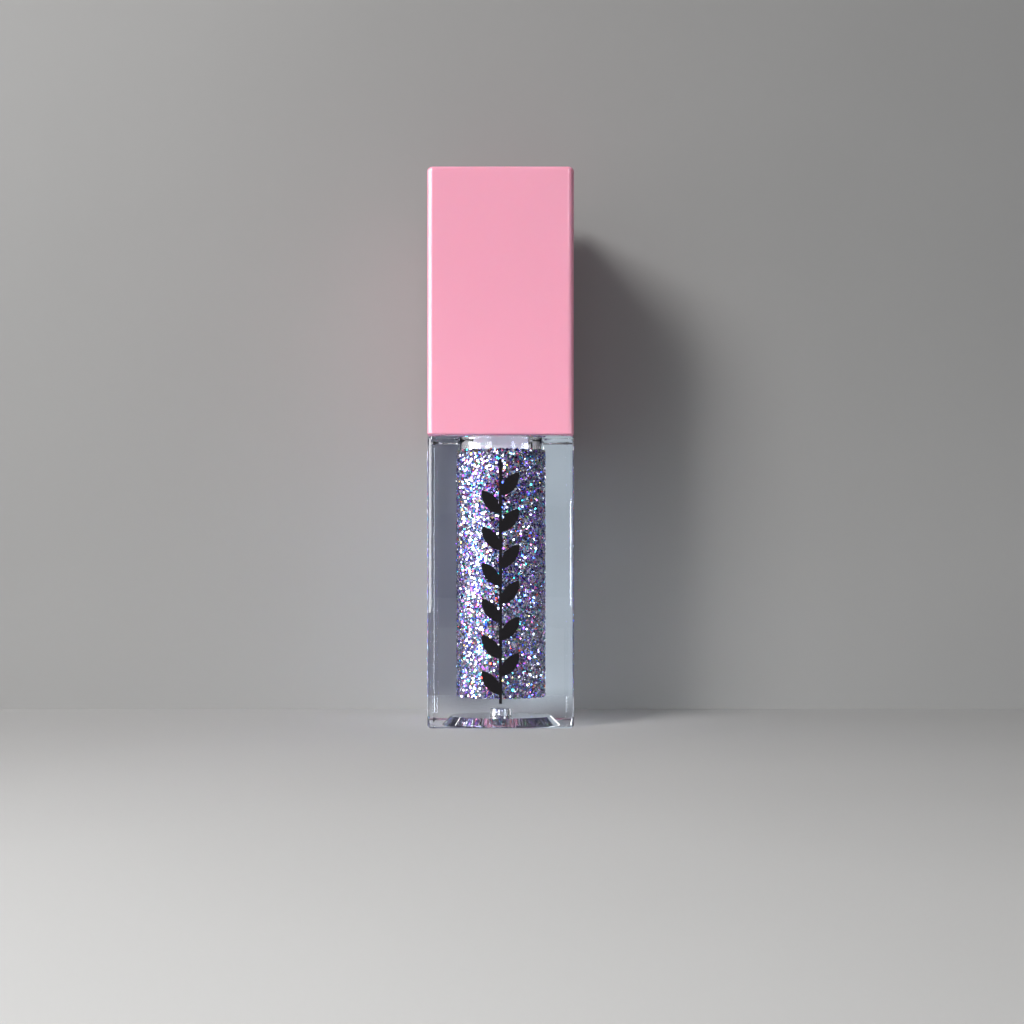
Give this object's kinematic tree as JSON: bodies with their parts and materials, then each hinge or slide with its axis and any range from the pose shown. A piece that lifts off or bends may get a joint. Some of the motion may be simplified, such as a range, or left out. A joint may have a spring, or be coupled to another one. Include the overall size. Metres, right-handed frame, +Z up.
{
  "type": "square screw-cap lip gloss tube",
  "caption": "Square clear lip gloss tube with glitter gloss in a round bore and a pink screw cap that carries a stem and a slanted flocked applicator.",
  "frame": {"origin": "middle of the bottle's base, on the plane it stands on", "axes": "+Z up along the bore and the stem, -Y out of the front face that carries the print, +X to the right seen from the front"},
  "size_m": [0.02, 0.02, 0.0764],
  "materials": {
    "clear_plastic": "clear polished moulded plastic with a faint blue-lilac cast",
    "wiper_plastic": "milky soft polyethylene",
    "glitter_gloss": "clear gel packed with silver-lilac holographic glitter",
    "black_ink": "printed black ink film",
    "liner_foam": "white foamed polyethylene",
    "stem_plastic": "translucent white moulded plastic",
    "pink_plastic": "glossy pastel pink moulded plastic",
    "inner_cap_plastic": "white polypropylene",
    "soft_plastic": "soft elastomer",
    "flock": "short white nylon flock"
  },
  "bodies": {
    "bottle_body": {"bottle": "clear_plastic", "wiper": "wiper_plastic", "gloss_fill": "glitter_gloss", "front_print": "black_ink"},
    "liner_body": {"seal_liner": "liner_foam"},
    "stem_body": {"stem": "stem_plastic"},
    "cap_body": {"overcap": "pink_plastic", "inner_cap": "inner_cap_plastic", "applicator_core": "soft_plastic", "applicator_flock": "flock"}
  },
  "joints": [
    {"name": "wand_pull", "type": "slide", "parent": "bottle_body", "child": "liner_body", "axis": [0, 0, 1], "range_m": [0, 0.06]},
    {"name": "cap_rise", "type": "slide", "parent": "liner_body", "child": "stem_body", "axis": [0, 0, 1], "range_m": [0, 0.0045]},
    {"name": "cap_turn", "type": "hinge", "parent": "stem_body", "child": "cap_body", "pos_m": [0, 0, 0.05], "axis": [0, 0, 1], "range_deg": [0, 540]}
  ],
  "couplings": [
    {"joint": "cap_rise", "follows": "cap_turn", "m_per_rad": 0.00047746}
  ]
}
